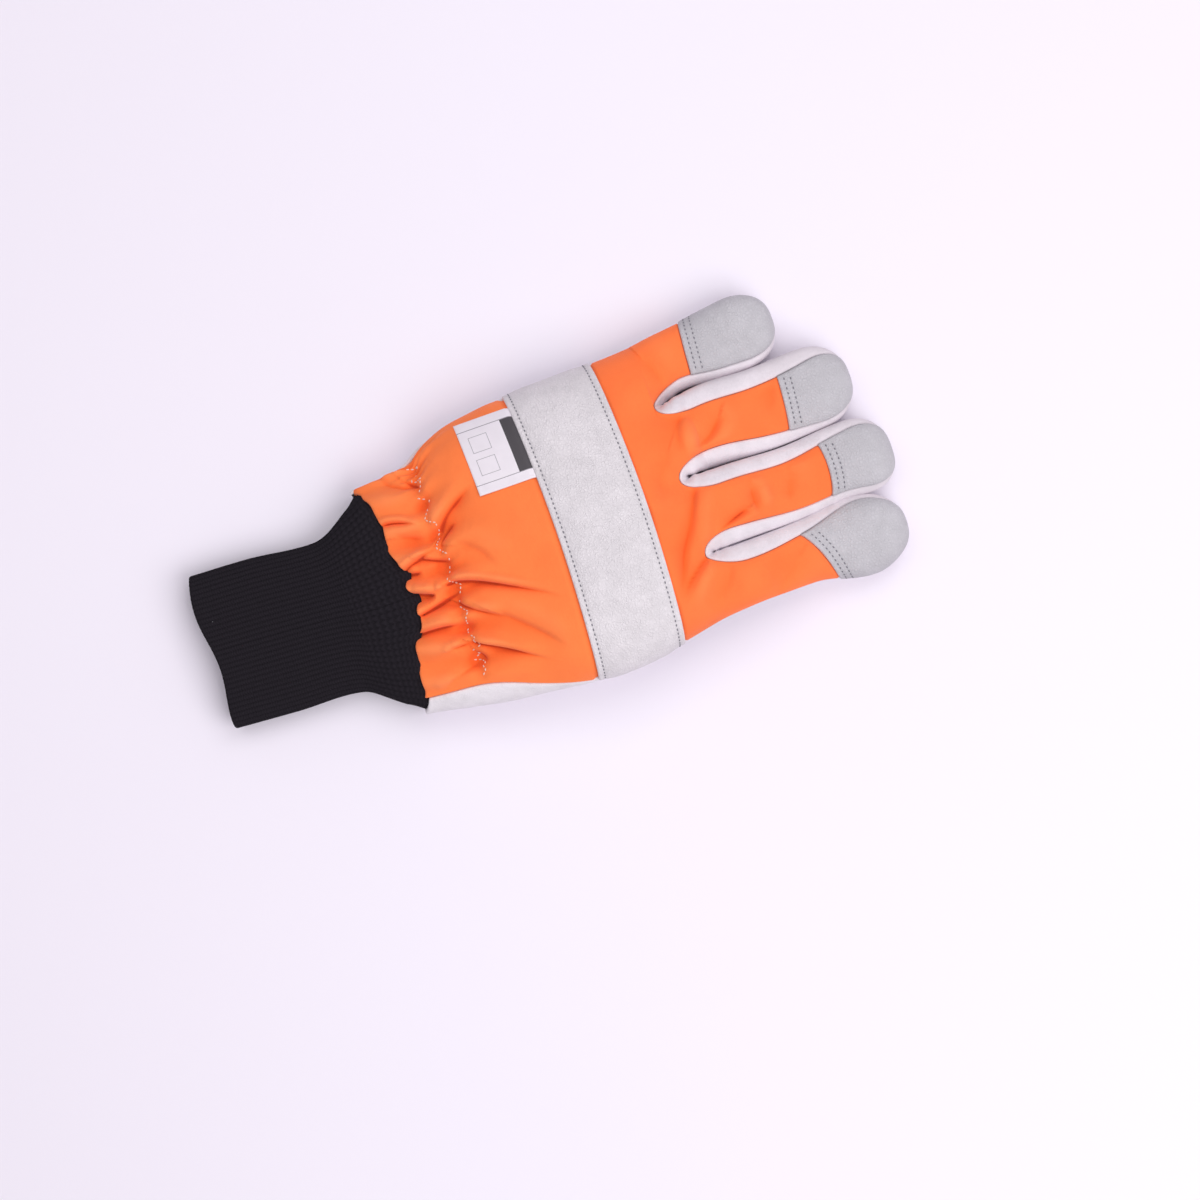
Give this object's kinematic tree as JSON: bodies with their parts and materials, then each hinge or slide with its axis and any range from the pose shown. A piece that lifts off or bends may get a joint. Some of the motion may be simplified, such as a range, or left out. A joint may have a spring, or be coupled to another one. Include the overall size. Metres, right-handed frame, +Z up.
{
  "type": "chainsaw glove",
  "caption": "Left forestry work glove with an orange cloth back, pale leather palm, fingertips and knuckle strap, an elastic wrist and a black rib-knit cuff.",
  "frame": {"origin": "middle of the outline, on the surface that the glove lies on", "axes": "+X from the wrist to the fingertips, +Y towards the little finger, +Z up through the back of the hand"},
  "size_m": [0.299, 0.1354, 0.0452],
  "materials": {
    "orange_cloth": "matt woven nylon",
    "pale_leather": "fine-grained, slightly wrinkled",
    "black_knit": "matt rib knit",
    "label_tape": "smooth sewn-in tape"
  },
  "bodies": {
    "root": {"knit_cuff": "black_knit", "back_wrist_cloth": "orange_cloth", "back_label": "label_tape", "knuckle_strap": "pale_leather", "back_finger_cloth": "orange_cloth", "little_cap": "pale_leather", "ring_cap": "pale_leather", "middle_cap": "pale_leather", "index_cap": "pale_leather", "little_ring_side_strip": "pale_leather", "ring_middle_side_strip": "pale_leather", "middle_index_side_strip": "pale_leather", "palm_heel": "pale_leather", "palm_band": "pale_leather", "palm_front": "pale_leather", "palm_ring_finger": "pale_leather", "palm_middle_finger": "pale_leather", "thumb": "pale_leather"}
  },
  "joints": []
}
